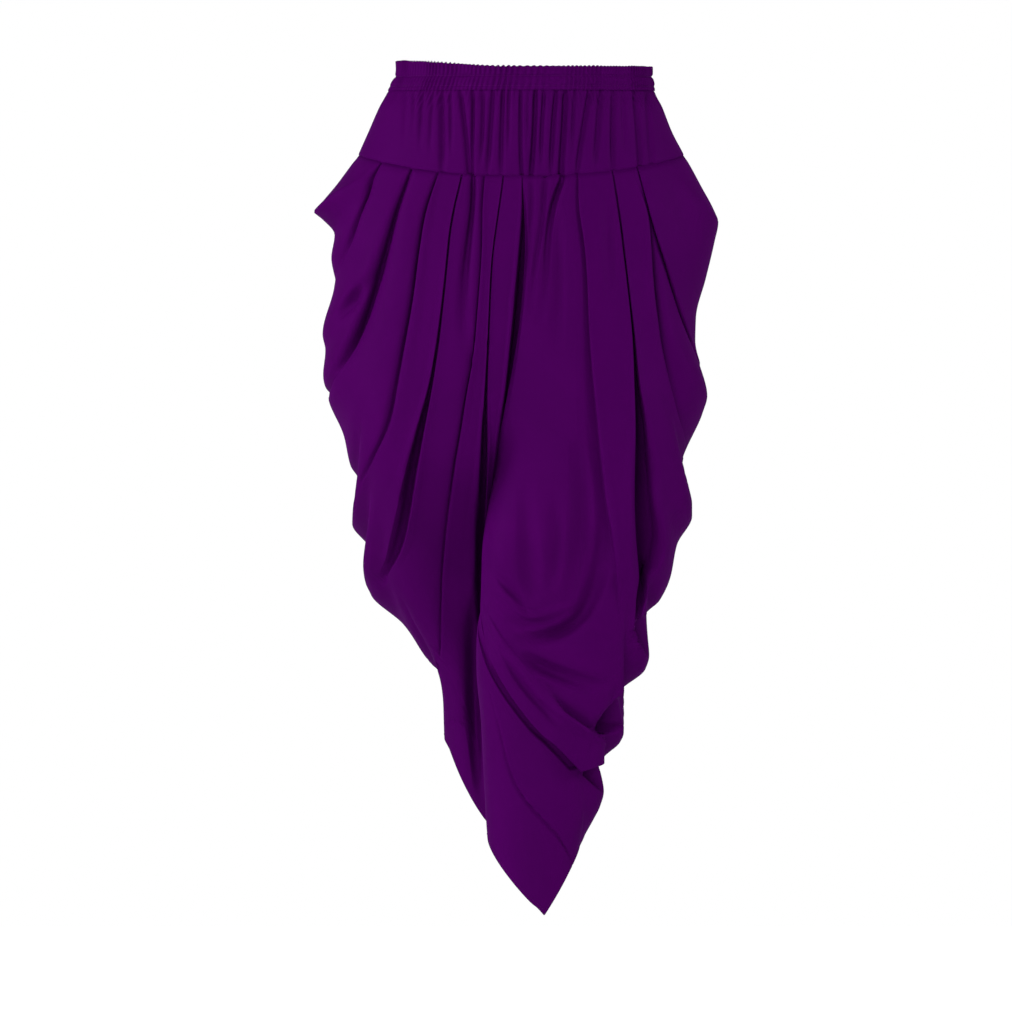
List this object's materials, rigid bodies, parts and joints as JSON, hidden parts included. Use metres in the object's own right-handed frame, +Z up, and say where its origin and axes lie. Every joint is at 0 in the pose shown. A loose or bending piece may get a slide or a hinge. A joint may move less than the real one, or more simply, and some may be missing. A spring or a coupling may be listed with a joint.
{
  "type": "dhoti pants",
  "caption": "Hollow worn dhoti pants: gathered elastic waist, fitted yoke, pleated cowl legs; the left leg crosses in front and ends in a pointed wrapped hem",
  "frame": {"origin": "middle of the waist opening, level with the upper edge of the ruffle at the front", "axes": "+Z up along the wearer, -Y the way the front faces, +X the wearer's left"},
  "size_m": [0.4374, 0.309, 0.9198],
  "materials": {
    "cloth": "smooth satin-matte crepe, deep purple"
  },
  "bodies": {
    "root": {"waistband": "cloth", "yoke_front": "cloth", "yoke_back": "cloth", "leg_right": "cloth", "leg_left": "cloth", "petal_left": "cloth"}
  },
  "joints": []
}
